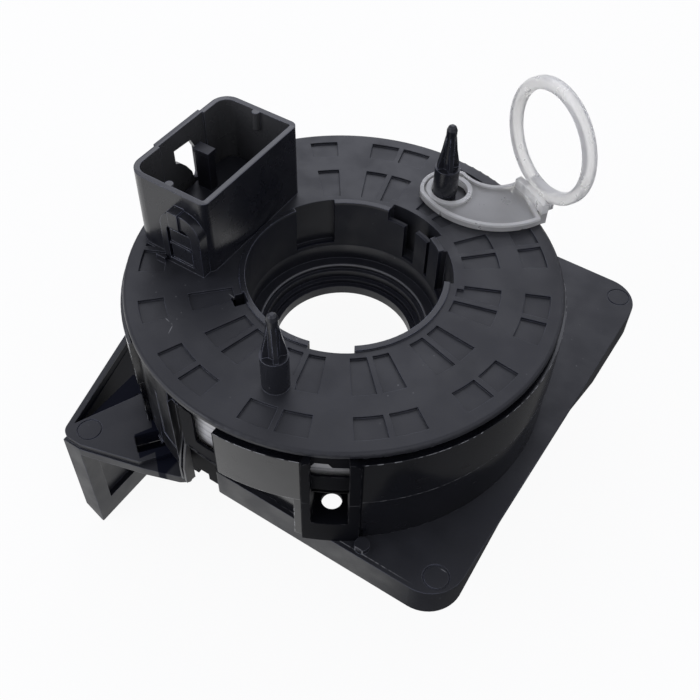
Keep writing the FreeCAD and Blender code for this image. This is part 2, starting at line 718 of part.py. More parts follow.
def alcove_window():
    """Opening through the alcove's face, higher on the left than on the right."""
    first, last = WINDOW_TOPS[0][0], WINDOW_TOPS[-1][0]
    points = [polar(FAR, first, WINDOW_SILL)] + [polar(FAR, a, z) for a, z in WINDOW_TOPS]
    points.append(polar(FAR, last, WINDOW_SILL))
    middle = math.radians((first + last) / 2)
    out = vec(math.cos(middle), math.sin(middle))
    flat = []
    for point in points:
        side = point.cross(out).z * (CASE_R / FAR)
        flat.append(out * (CASE_INNER - 1) + vec(-out.y, out.x) * -side + vec(0, 0, point.z))
    return slab(flat, FAR, out)


def cable_case():
    wall = ring(CASE_R, CASE_INNER, SEAM, CASE_TOP)
    foot = ring(CASE_R - 1, CASE_INNER - CASE_FOOT, SEAM, SEAM + CASE_FOOT)
    floor = ring(LOWER_INNER - 0.1, HUB_SLEEVE_R + HUB_CLEARANCE, FLOOR_UNDER, FLOOR_TOP)
    gap = sector(CASE_R + 1, CASE_INNER, CABLE_WINDOW, CABLE_SILL, FAR)
    gap_face = sector(CASE_R + 1, ALCOVE_FACE_R, CABLE_GAP, SEAM, FAR)
    outlet = sector(CASE_R + 1, CABLE_OUTER_R, (OUTLET_ANGLES[0], CABLE_GAP[0]), FLOOR_UNDER, FAR)
    frame = ear(SEAM, DISC_TOP - EAR_TOP_DROP, EAR_ROUND)
    recess = sector(FAR, ALCOVE_FACE_R, ALCOVE_ANGLES, FLOOR_UNDER, FAR)
    notch = sector(FAR, ALCOVE_FLOOR_R, ALCOVE_ANGLES, FLOOR_UNDER, SEAM)
    lintel = sector(FAR, CABLE_OUTER_R, ALCOVE_ANGLES, FLOOR_UNDER, SEAM + LINTEL_RISE)
    body = fused([wall.cut(gap).cut(gap_face), foot, floor, frame]).cut(outlet)
    return body.cut(recess).cut(notch).cut(lintel).cut(alcove_window())


def lower_plan(radius, inset, low, high):
    """Round plan with a flat, set back front between the cover and the alcove."""
    xs = (FRONT_RECESS_X[0] - inset, FRONT_RECESS_X[1] + inset)
    return cylinder(radius, low, high).cut(block(xs, (-FAR, FRONT_RECESS_Y + inset), low, high))


def case_tongue():
    """Flat wall that reaches down between the base's skirt and the wing."""
    bottom = BASE_TOP - FRONT_TONGUE_DROP
    ys = (FRONT_RECESS_Y, FRONT_RECESS_Y + LOWER_WALL)
    wall = block((FRONT_RECESS_X[0], FRONT_TONGUE_END), ys, bottom, BASE_TOP)
    return wall.cut(block(TONGUE_NOTCH, (-FAR, 0), bottom, bottom + TONGUE_NOTCH_DEPTH))


def alcove_box(grow, low):
    """The alcove behind the ear, or with some growth its walls."""
    span = (ALCOVE_ANGLES[0] - grow * ALCOVE_SIDE_ANGLE, ALCOVE_ANGLES[1] + grow * ALCOVE_SIDE_ANGLE)
    return sector(LOWER_R, ALCOVE_BACK_R - grow * ALCOVE_WALL, span, low, SEAM)


def pillar_arms():
    arms = []
    for angle in PILLAR_ANGLES:
        arm = block((PILLAR_AT_R, LOWER_INNER + LOWER_WALL / 2), (-RIB_WALL / 2, RIB_WALL / 2),
                    BOARD_TOP, FLOOR_UNDER)
        arm.rotate(vec(0, 0, 0), vec(0, 0, 1), angle)
        arms.append(arm)
    return arms


def lower_case():
    shell = lower_plan(LOWER_R, 0.0, BASE_TOP, SEAM).cut(lower_plan(LOWER_INNER, LOWER_WALL, BASE_TOP, SEAM))
    shell = fused([shell, alcove_box(1, SHELF_TOP - SHELF_THICK), ear(BASE_TOP, SEAM, 0.0)])
    shell = shell.cut(sector(FAR, ALCOVE_BACK_R, ALCOVE_ANGLES, SHELF_TOP, SEAM))
    shell = shell.cut(sector(FAR, LOWER_INNER, (OUTLET_ANGLES[0], CABLE_GAP[0]), BASE_TOP, SEAM))
    shell = shell.cut(cylinder(LOWER_INNER, FLOOR_UNDER, SEAM))
    shell = shell.cut(cylinder(SCREW_R, SHELF_TOP - SHELF_THICK, SEAM, SCREW_X, SCREW_Y))
    pillars = [cylinder(PILLAR_R, BOARD_TOP, FLOOR_UNDER, p.x, p.y) for p in screw_axes()]
    body = fused([shell, case_tongue()] + pillars + pillar_arms())
    return body.cut(Part.makeCompound(screw_holes()))


def screw_axes():
    return [polar(PILLAR_AT_R, angle) for angle in PILLAR_ANGLES]


def screw_holes():
    under = BOARD_TOP - BOARD_THICK
    return [cylinder(SCREW_SHANK_R, under - 1, under + SCREW_LENGTH, p.x, p.y) for p in screw_axes()]


def board_screws():
    under = BOARD_TOP - BOARD_THICK
    screws = []
    for p in screw_axes():
        shank = cylinder(SCREW_SHANK_R, under - 0.1, under + SCREW_LENGTH, p.x, p.y)
        head = cylinder(SCREW_HEAD_R, under - SCREW_HEAD, under, p.x, p.y)
        slot = block((p.x - SCREW_HEAD_R, p.x + SCREW_HEAD_R), (p.y - 0.25, p.y + 0.25),
                     under - SCREW_HEAD - 0.1, under - SCREW_HEAD + 0.5)
        screws.append(fused([shank, head]).cut(slot))
    return Part.makeCompound(screws)


def circuit_board():
    plate = sector(BOARD_OUTER_R, BOARD_INNER_R, BOARD_ANGLES, BOARD_TOP - BOARD_THICK, BOARD_TOP)
    return plate.cut(Part.makeCompound(screw_holes()))


def board_chips():
    chips = []
    length, width, height = CHIP_SIZE
    middle = (BOARD_INNER_R + BOARD_OUTER_R) / 2 - 2
    for angle in CHIP_ANGLES:
        chip = block((middle - width / 2, middle + width / 2), (-length / 2, length / 2),
                     BOARD_TOP, BOARD_TOP + height)
        chip.rotate(vec(0, 0, 0), vec(0, 0, 1), angle)
        chips.append(chip)
    return Part.makeCompound(chips)


def sensor_forks():
    """Two light barriers that stand on the board and straddle the code ring."""
    forks = []
    skirt_bottom = HUB_FOOT_UNDER - CODE_SKIRT
    under = skirt_bottom - 1.2
    outer = BOARD_INNER_R + 3.2
    for middle in FORK_ANGLES:
        span = (middle - FORK_SPAN / 2, middle + FORK_SPAN / 2)
        body = sector(outer, CODE_R - CODE_WALL - FORK_GAP - FORK_ARM, span,
                      BOARD_TOP, HUB_FOOT_UNDER - CODE_PLATE - FORK_GAP)
        slot = sector(CODE_R + FORK_GAP, CODE_R - CODE_WALL - FORK_GAP, (span[0] - 1, span[1] + 1),
                      skirt_bottom - 0.6, FAR)
        upper = sector(outer + 1, CODE_R + FORK_GAP + FORK_ARM, (span[0] - 1, span[1] + 1),
                       BOARD_TOP + FORK_STEP, FAR)
        forks.append(body.cut(slot).cut(upper))
    return Part.makeCompound(forks)


def bottom_cover():
    plate = sector(LOWER_INNER - 0.2, COVER_INNER_R, COVER_ANGLES, BASE_TOP, COVER_TOP)
    half = HEADER_X / 2 + HEADER_CLEARANCE
    mouth = block((-half, half), (HEADER_Y[0] - HEADER_CLEARANCE, HEADER_Y[1] + HEADER_CLEARANCE),
                  BASE_TOP, COVER_TOP)
    return plate.cut(mouth)


def header_shell():
    top = BOARD_TOP - BOARD_THICK
    outer = block((-HEADER_X / 2, HEADER_X / 2), HEADER_Y, top - HEADER_DEPTH, top)
    inner_y = (HEADER_Y[0] + HEADER_WALL, HEADER_Y[1] - HEADER_WALL)
    inner = block((-HEADER_X / 2 + HEADER_WALL, HEADER_X / 2 - HEADER_WALL), inner_y,
                  top - HEADER_DEPTH - 1, top - 2.0)
    holes = [contact_block(x, y, top - 3, top) for x, y in header_positions()]
    return outer.cut(inner).cut(Part.makeCompound(holes))


def header_positions():
    middle = (HEADER_Y[0] + HEADER_Y[1]) / 2
    for i in range(HEADER_CONTACTS):
        yield (i - (HEADER_CONTACTS - 1) / 2) * CONTACT_PITCH, middle


def header_contacts():
    top = BOARD_TOP - BOARD_THICK
    return Part.makeCompound([contact_block(x, y, top - HEADER_CONTACT_LENGTH, top)
                              for x, y in header_positions()])


def base_corners():
    return rounded([(BASE_X, BASE_FRONT), (BASE_X, BASE_BACK), (-BASE_X, BASE_BACK), WING_BACK,
                    WING_JOIN[1], (-7.0, WING_JOIN[0][1]), (-6.4, BASE_FRONT)],
                   [BASE_ROUND, BASE_ROUND, BASE_ROUND, 0.0, 0.0, 0.0, 1.0])


def skirt_arch():
    corners = [vec(BASE_X - SKIRT_WALL - 1, y, z) for y, z in
               ((-ARCH_FOOT_Y, BASE_BOTTOM - 1), (ARCH_FOOT_Y, BASE_BOTTOM - 1),
                (ARCH_FOOT_Y, BASE_BOTTOM), (ARCH_TOP_Y, BASE_UNDER), (-ARCH_TOP_Y, BASE_UNDER),
                (-ARCH_FOOT_Y, BASE_BOTTOM))]
    return slab(corners, SKIRT_WALL + 2, vec(1, 0, 0))


def base_opening(low, high):
    inner = cylinder(BASE_OPENING_R, low, high)
    ledge_y = FRONT_RECESS_Y + LOWER_WALL + RECESS_LEDGE
    return inner.cut(block((-FAR, FRONT_RECESS_X[1]), (-FAR, ledge_y), low, high))


def mark(x, y):
    return ring(MARK_R + MARK_GROOVE / 2, MARK_R - MARK_GROOVE / 2, BASE_TOP - MARK_DEPTH, BASE_TOP + 1, x, y)


def wing_wall():
    """Deep wall along the wing's outer edge; its lower edge rises to the back."""
    front = vec(*WING_CORNER)
    back = vec(*WING_BACK)
    along = (back - front).normalize()
    inward = vec(along.y, -along.x)
    start = front + along * WING_CORNER_ROUND
    corners = [start + vec(0, 0, BASE_TOP), back + vec(0, 0, BASE_TOP), back + vec(0, 0, BASE_BOTTOM),
               start + vec(0, 0, BASE_TOP - WING_WALL_DEPTH)]
    return slab(corners, WING_WALL, inward)


def wing_plan():
    return rounded([WING_BACK, WING_CORNER, WING_BEND, WING_TIP, WING_HEEL, *WING_JOIN],
                   [0.0, WING_CORNER_ROUND, 0.0, WING_TIP_ROUND, 0.0, 0.0, 0.0])


def wing_pocket():
    """Deep opening between the wing's plate, its outer wall and the case."""
    back_y = WING_BACK[1]
    inner_x, outer_x = POCKET_BACK_X
    plan = outline([POCKET_FRONT, POCKET_INNER, (inner_x, back_y), (outer_x, back_y)])
    hole = raised(plan, BASE_UNDER - 1, BASE_TOP + 1)
    return hole.cut(cylinder(CASE_R + DRUM_LEDGE, BASE_UNDER - 1, BASE_TOP + 1))


def clip_hole():
    length, width = CLIP_HOLE_SIZE
    hole = block((-length / 2, length / 2), (-width / 2, width / 2), FLANGE_UNDER, BASE_TOP)
    hole.rotate(vec(0, 0, 0), vec(0, 0, 1), CLIP_TURN)
    hole.translate(vec(*CLIP_HOLE))
    return hole


def flange():
    front = [(BLADE_X[0] + 1, BLADE_Y[0]), (BLADE_X[1], BLADE_Y[0])]
    plan = rounded(front + list(FLANGE_EDGE) + list(FLANGE_BACK), [1.0, 0.0, 6.0, 1.2, 0.8, 0.0, 0.0, 0.0])
    return raised(plan, FLANGE_UNDER, FLANGE_TOP)


def blade():
    body = block(BLADE_X, BLADE_Y, BLADE_BOTTOM, BASE_UNDER)
    x0 = BLADE_X[0]
    chamfer = slab([vec(x0 - 1, BLADE_Y[0] - 1, BLADE_BOTTOM + BLADE_CHAMFER + 1),
                    vec(x0 + BLADE_CHAMFER + 1, BLADE_Y[0] - 1, BLADE_BOTTOM - 1),
                    vec(x0 - 1, BLADE_Y[0] - 1, BLADE_BOTTOM - 1)],
                   BLADE_Y[1] - BLADE_Y[0] + 2, vec(0, 1, 0))
    recess = block((BLADE_X[1] - BLADE_RECESS, BLADE_X[1] + 1),
                   (BLADE_Y[0] + BLADE_BORDER, BLADE_Y[1] - BLADE_BORDER),
                   BLADE_BOTTOM + BLADE_BORDER + 2, FLANGE_UNDER - BLADE_BORDER / 2)
    return body.cut(chamfer).cut(recess)


def wing():
    plate = raised(wing_plan(), BASE_UNDER, BASE_TOP)
    body = fused([plate, flange(), wing_wall(), blade()])
    return body.cut(wing_pocket()).cut(clip_hole())


def underside_ribs():
    ribs = []
    low = BASE_BOTTOM + RIB_SET_UP
    for x in RIB_XS:
        ribs.append(block((x, x + RIB_WALL), (RIB_FROM_Y, BASE_BACK - 1), low, BASE_UNDER))
    ribs.append(block((1 - BASE_X, BASE_X - 1), (RIB_Y, RIB_Y + RIB_WALL), low, BASE_UNDER))
    return ribs


def base_plate():
    plan = base_corners()
    tray = raised(plan, BASE_BOTTOM, BASE_TOP)
    inside = raised(plan.makeOffset2D(-SKIRT_WALL), BASE_BOTTOM, BASE_UNDER)
    frame = tray.cut(inside).cut(skirt_arch())
    stakes = [cylinder(STAKE_R, BASE_TOP - 1, BASE_TOP + STAKE_HEIGHT, x, y) for x, y in STAKES]
    body = fused([frame, wing()] + underside_ribs())
    body = fused([body] + stakes).cut(base_opening(BASE_BOTTOM - 1, BASE_TOP + 1))
    body = body.cut(cylinder(SCREW_WAY_R, BASE_BOTTOM - 1, BASE_TOP + 1, SCREW_X, SCREW_Y))
    body = body.cut(Part.makeCompound([mark(x, y) for x, y in MARKS]))
    return body


def outlet_rib(span):
    """One upright rib at the cover's end; it stands further out below the seam."""
    edge = [(CASE_R - inset, height) for inset, height in OUTLET_RIB_EDGE]
    edge.append((edge[-1][0], BASE_TOP))
    back = CASE_R - OUTLET_RIB_BACK
    corners = [vec(r, 0, z) for r, z in [(back, edge[0][1])] + edge + [(back, BASE_TOP)]]
    face = Part.Face(Part.makePolygon(corners + corners[:1]))
    rib = face.revolve(vec(0, 0, 0), vec(0, 0, 1), span[1] - span[0])
    rib.rotate(vec(0, 0, 0), vec(0, 0, 1), span[0])
    return rib


def cover_clip():
    """Hook at the cover's foot that snaps into the wing's square hole."""
    stem = sector(CASE_R, CASE_INNER, CLIP_ANGLES, FLANGE_TOP, BASE_TOP)
    barb = sector(CASE_R + CLIP_REACH, CASE_INNER, CLIP_ANGLES, FLANGE_TOP, FLANGE_TOP + CLIP_REACH)
    return stem.fuse(barb)


def clip_slots():
    """Slots on both sides of the hook, so that it can spring."""
    start, end = CLIP_ANGLES
    return [sector(CASE_R + 1, CASE_INNER - 1, span, BASE_TOP - 1, BASE_TOP + CLIP_RISE)
            for span in ((start - CLIP_SLOT_ANGLE, start), (end, end + CLIP_SLOT_ANGLE))]


def cover_crease():
    """Slanting step in the cover's face; below it the face is set back."""
    (start, start_z), (end, end_z) = OUTLET_CREASE
    middle = math.radians((start + end) / 2)
    out = vec(math.cos(middle), math.sin(middle))
    side = vec(-out.y, out.x)
    half = CASE_R * math.sin(math.radians((end - start) / 2))
    at = out * (CASE_INNER - 1)
    corners = [at + side * -half + vec(0, 0, start_z), at + side * half + vec(0, 0, end_z),
               at + side * half + vec(0, 0, BASE_TOP + CLIP_RISE),
               at + side * -half + vec(0, 0, BASE_TOP + CLIP_RISE)]
    return slab(corners, FAR, out).cut(cylinder(CASE_R - OUTLET_CREASE_DEPTH, BASE_TOP, FAR))


def outlet_cover():
    """Cover over the cable's way out of the case, beside the wing."""
    skin = sector(CASE_R, CASE_INNER, OUTLET_ANGLES, BASE_TOP, CASE_TOP - OUTLET_DROP)
    back = CASE_R - OUTLET_RIB_BACK
    top = OUTLET_RIB_EDGE[1][1]
    web = sector(back + OUTLET_WEB, back, (OUTLET_ANGLES[1] - 1, OUTLET_RIBS[-1][1]), BASE_TOP, top)
    joint = sector(CASE_INNER, back, (OUTLET_ANGLES[1] - 1, OUTLET_ANGLES[1]), BASE_TOP, top)
    skin = skin.cut(Part.makeCompound(clip_slots())).cut(cover_crease())
    return fused([skin, cover_clip(), web, joint] + [outlet_rib(span) for span in OUTLET_RIBS])


def outer_block():
    """Junction block below the cable's floor, where its outer end is joined."""
    inner, outer = OUTER_BLOCK_R
    return sector(outer, inner, OUTER_BLOCK_ANGLES, BASE_TOP + OUTER_BLOCK_GAP, FLOOR_UNDER - OUTER_BLOCK_GAP)


def flat_cable():
    """One strip wound as half circles, tight at the case wall and loose inside."""
    pitches = [CABLE_TIGHT_PITCH] * (2 * CABLE_TIGHT_TURNS) + [CABLE_LOOSE_PITCH] * (2 * CABLE_LOOSE_TURNS)
    outer_edges = []
    inner_edges = []
    radius = CABLE_OUTER_R
    centre = 0.0
    side = 1
    for pitch in pitches:
        for edges, r in ((outer_edges, radius), (inner_edges, radius - CABLE_THICK)):
            start = vec(centre + side * r, 0)
            middle = vec(centre, side * r)
            end = vec(centre - side * r, 0)
            edges.append(Part.Arc(start, middle, end).toShape())
        last_radius, last_centre, last_side = radius, centre, side
        radius -= pitch / 2
        centre -= side * pitch / 2
        side = -side
    first_cap = Part.LineSegment(vec(CABLE_OUTER_R - CABLE_THICK, 0), vec(CABLE_OUTER_R, 0)).toShape()
    tail = last_centre - last_side * last_radius
    last_cap = Part.LineSegment(vec(tail, 0), vec(tail + last_side * CABLE_THICK, 0)).toShape()
    wire = Part.Wire(Part.sortEdges(outer_edges + [last_cap] + inner_edges + [first_cap])[0])
    return raised(wire, CABLE_LOW, CABLE_LOW + CABLE_HEIGHT)


def lower_sheet():
    outer = CASE_INNER - CASE_FOOT - SHEET_CLEARANCE
    return ring(outer, HUB_SLEEVE_R + HUB_CLEARANCE + SHEET_MARGIN, FLOOR_TOP, FLOOR_TOP + SHEET_THICK)


# Transport lock

def lock_plan():
    """Plan of the lock's plate: a round end about the pin, widening to the rim."""
    low_middle, low_end = LOCK_LOW
    high_middle, high_end = LOCK_HIGH
    edges = [
        Part.Arc(vec(*LOCK_TIP), vec(*low_middle), vec(*low_end)).toShape(),
        Part.LineSegment(vec(*low_end), vec(*high_end)).toShape(),
        Part.Arc(vec(*high_end), vec(*high_middle), vec(*LOCK_BACK)).toShape(),
        Part.Arc(vec(*LOCK_BACK), vec(*LOCK_LEFT), vec(*LOCK_TIP)).toShape(),
    ]
    return Part.Wire(edges)


def lock_tab(low, high):
    return sector(LOCK_TAB_R + LOCK_TAB_WALL, LOCK_TAB_R, LOCK_TAB_ANGLES, low, high)


def pull_ring():
    bottom = DISC_TOP + LOCK_GAP
    raise_to = bottom + RING_R + RING_RAISE
    torus = Part.makeCylinder(RING_R, RING_THICK, vec(0, 0, 0), vec(1, 0, 0))
    torus = torus.cut(Part.makeCylinder(RING_HOLE_R, RING_THICK, vec(0, 0, 0), vec(1, 0, 0)))
    edges = [edge for edge in torus.Edges if edge.Curve.TypeId == "Part::GeomCircle"]
    torus = torus.makeFillet(RING_EDGE_ROUND, edges)
    torus.translate(vec(RING_AT_R - RING_THICK / 2, 0, raise_to))
    torus.rotate(vec(0, 0, 0), vec(0, 0, 1), RING_ANGLE)
    return torus


def transport_lock():
    low = DISC_TOP + LOCK_GAP
    plate_top = low + LOCK_PLATE
    rim_top = plate_top + LOCK_RIM
    plan = lock_plan()
    inner = plan.makeOffset2D(-LOCK_RIM_WALL)
    plate = raised(plan, low, rim_top).cut(raised(inner, plate_top, rim_top))
    eye = cylinder(LOCK_EYE_R + LOCK_EYE_WALL, low, rim_top, LOCK_EYE_X, LOCK_EYE_Y)
    tab = lock_tab(low - LOCK_TAB_DROP, low + LOCK_FOOT)
    foot_span = (RING_ANGLE - LOCK_FOOT_ANGLE, RING_ANGLE + LOCK_FOOT_ANGLE)
    foot = sector(RING_AT_R + RING_THICK / 2, LOCK_TAB_R, foot_span, low, low + LOCK_FOOT)
    body = fused([plate.fuse(eye), tab.fuse(foot), pull_ring()])
    body = body.cut(cylinder(LOCK_EYE_R, low, rim_top, LOCK_EYE_X, LOCK_EYE_Y))
    return body


PIECES = {
    "rotor_disc": rotor_disc,
    "rotor_hub": rotor_hub,
    "inner_junction": inner_block,
    "contact_carrier": contact_carrier,
    "shroud_contacts": shroud_contacts,
    "upper_glide_sheet": upper_sheet,
    "code_ring": code_ring,
    "cable_case": cable_case,
    "lower_case": lower_case,
    "base_plate": base_plate,
    "outlet_cover": outlet_cover,
    "outer_junction": outer_block,
    "lower_glide_sheet": lower_sheet,
    "flat_cable": flat_cable,
    "circuit_board": circuit_board,
    "board_chips": board_chips,
    "sensor_forks": sensor_forks,
    "board_screws": board_screws,
    "bottom_cover": bottom_cover,
    "header_shell": header_shell,
    "header_contacts": header_contacts,
    "transport_lock": transport_lock,
}

for name, make in PIECES.items():
    save(name, make())
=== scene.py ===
import math

import bpy
from mathutils import Matrix, Vector


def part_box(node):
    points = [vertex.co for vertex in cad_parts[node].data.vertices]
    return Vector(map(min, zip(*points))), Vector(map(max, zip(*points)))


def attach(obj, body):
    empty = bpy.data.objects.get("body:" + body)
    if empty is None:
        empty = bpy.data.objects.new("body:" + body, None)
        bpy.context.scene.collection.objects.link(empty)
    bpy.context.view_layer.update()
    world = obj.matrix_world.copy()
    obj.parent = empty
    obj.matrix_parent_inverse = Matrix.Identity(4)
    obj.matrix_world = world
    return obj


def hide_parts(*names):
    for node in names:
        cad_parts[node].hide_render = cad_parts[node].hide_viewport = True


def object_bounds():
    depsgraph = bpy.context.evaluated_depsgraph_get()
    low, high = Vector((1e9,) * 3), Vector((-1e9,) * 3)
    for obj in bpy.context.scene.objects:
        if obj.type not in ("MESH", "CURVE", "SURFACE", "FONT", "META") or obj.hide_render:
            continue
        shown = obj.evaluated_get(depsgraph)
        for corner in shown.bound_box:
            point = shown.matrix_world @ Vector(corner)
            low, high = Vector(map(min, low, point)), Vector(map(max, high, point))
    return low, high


# A steering clock spring on a pale table under soft light.
# Lengths are in metres, and turns in degrees round the column.

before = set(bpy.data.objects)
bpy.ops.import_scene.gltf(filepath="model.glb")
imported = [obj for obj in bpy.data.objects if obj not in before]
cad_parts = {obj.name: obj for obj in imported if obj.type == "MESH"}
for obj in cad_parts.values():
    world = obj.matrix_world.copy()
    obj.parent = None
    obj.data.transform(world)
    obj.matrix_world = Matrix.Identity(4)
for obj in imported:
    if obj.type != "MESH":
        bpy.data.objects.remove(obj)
cad_low, cad_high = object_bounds()

# Camera of the photograph
PICTURE_PIXELS = 700
FOCAL_PIXELS = 955.8
SENSOR_MM = 36.0
CAMERA_PLACE = (0.0870, -0.1373, 0.1913)
CAMERA_AZIMUTH = 31.7
CAMERA_PITCH = 50.13
CAMERA_ROLL = 1.87
CAMERA_NEAR = 0.01

# Table: how brightly it shows to the eye and in gloss, and where its gloss fades towards +X as a painted
# darker reflection on the drum's right side
FLOOR_HALF = 1.6
FLOOR_COLOUR = (0.84, 0.84, 0.845, 1.0)
FLOOR_SEEN_GLOW = 0.93
FLOOR_GLOSS_GLOW = 0.96
FLOOR_FADE_X = (0.030, 0.046)
FLOOR_FADED_GLOW = 0.10

# Light: each lamp has a name, a place and a power
WORLD_STRENGTH = 0.64
SKY_TINT = (0.95, 0.97, 1.09, 1.0)
WHITE = (1.0, 1.0, 1.0, 1.0)
LAMP_WIDTH = 0.60
LAMPS = (
    ("key", (-0.36, 0.62, 0.54), 1.5),
    ("fill", (0.60, -0.20, 0.60), 0.5),
    ("front", (-0.45, -0.70, 0.40), 2.6),
)

# Sockets of a mix node that are for colours: share, first and second
MIX_INPUTS = (0, 6, 7)
MIX_OUTPUT = 2

# What most of a noise lies between, and the soft edge of a span of turns
NOISE_LOW = 0.3
NOISE_HIGH = 0.7
TURN_EASE = 0.4

# Rounding of the edges, and how far a direction turns from none to all of the pale edge mark of wear and
# painted highlight
PLASTIC_EDGE = 0.00026
LOCK_EDGE = 0.0003
METAL_EDGE = 0.0001
BEVEL_SAMPLES = 6
EDGE_TURNED = (0.02, 0.22)

# Tints of the greys, the deep bluish one being for painted shade
COOL = (0.90, 0.96, 1.30)
PAINTED_SHADE_TINT = (0.75, 0.90, 1.80)
WARM = (1.0, 0.99, 0.95)
FILM_TINT = (1.0, 0.99, 0.94)
CONDUCTOR_TINT = (1.0, 0.98, 0.92)

# Greys on the plastic: edge wear that is also painted highlight, specks, dust, scratches, chips that are
# partly painted highlight, a painted seam highlight, and painted shade
WEAR_AND_GLINT_GREY = 0.20
SPECK_GREY = 0.32
DUST_GREY = 0.30
SCRATCH_GREY = 0.15
CHIP_AND_GLINT_GREY = 0.50
SEAM_HIGHLIGHT_GREY = 0.16
PAINTED_SHADE_GREY = 0.004

# Colours of the board and the metals
RESIST = (0.012, 0.075, 0.030, 1.0)
RESIST_ON_TRACK = (0.030, 0.130, 0.045, 1.0)
TIN = (0.72, 0.68, 0.58)
ZINC = (0.60, 0.61, 0.62)

# Plain moulded pieces: node, material, shade, roughness and depth of the grain
PLAIN_PIECES = (
    ("contact_carrier", "carrier_plastic", 0.010, 0.45, 0.000010),
    ("inner_junction", "inner_block_plastic", 0.010, 0.50, 0.000010),
    ("outer_junction", "outer_block_plastic", 0.010, 0.50, 0.000010),
    ("code_ring", "code_plastic", 0.008, 0.50, 0.000010),
    ("bottom_cover", "bottom_plastic", 0.012, 0.50, 0.000012),
    ("header_shell", "header_plastic", 0.012, 0.42, 0.000010),
    ("sensor_forks", "fork_plastic", 0.010, 0.40, 0.000006),
    ("board_chips", "chip_epoxy", 0.010, 0.50, 0.000008),
)

# Heights on the object
DISC_TOP = 0.0264
LOCK_PLATE_TOP = 0.0277
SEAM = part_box("lower_case")[1].z
BASE_TOP = -0.0071
ALCOVE_SHADE_TOP = 0.0150

# Collar, hub and connector shroud
COLLAR_RADIUS = 0.02406
HUB_STEP_RADIUS = 0.0212
HUB_STEP_HEIGHT = 0.0073
BORE_WALL_TOP = 0.0050
SHROUD_MIDDLE = (-0.0374, -0.0003)
SHROUD_HALF = (0.0114, 0.0172)

# Turns at which the case opens, and at which the outlet's cover ends, where painted shade is laid
OUTLET_TURNS = (-112.0, -88.0)
ALCOVE_TURNS = (-67.1, -52.0)
COVER_END_TURNS = (-100.5, -99.5)

# Wing of the base in plan: its ridge, its outer wall and its bounds, and its square hole's middle
# with each direction of its sides and how far it reaches that way
WING_RIDGE = ((-0.0440, -0.0542), (-0.0361, -0.0376), (-0.0277, -0.0456))
WING_WALL = ((-0.0579, -0.0104), (-0.0450, -0.0595))
WING_WALL_WIDTH = 0.0024
WING_BACK = -0.0108
WING_RIGHT = -0.0160
WING_LOWEST = -0.0290
WING_HOLE = (-0.0249, -0.0485)
WING_HOLE_AXES = (((0.62, 0.78), 0.0041), ((0.88, -0.47), 0.0038))
HOLE_FLOOR_TOP = -0.0132
HOLE_FLOOR_UNDER = -0.0142

# Skin of the outlet's cover: where it starts to be drawn in, over how many degrees, and how far
SKIN_START_TURN = -103.0
SKIN_EASE = 2.0
SKIN_RADIUS = 0.05205
SKIN_DRAWN_RADIUS = 0.05137
SKIN_KEPT_WIDTH = 0.45
SKIN_SLACK = 0.0001

# Fine scratches in plan, each from one place to another
SCRATCH_HALF_WIDTH = 0.00007
DISC_SCRATCHES = (
    ((-0.0259, -0.0359), (-0.0230, -0.0366)),
    ((-0.0230, -0.0366), (-0.0221, -0.0393)),
    ((-0.0190, -0.0213), (-0.0151, -0.0218)),
)
BASE_SCRATCHES = (
    ((0.0517, -0.0390), (0.0547, -0.0391)),
    ((0.0100, -0.0459), (0.0500, -0.0459)),
)


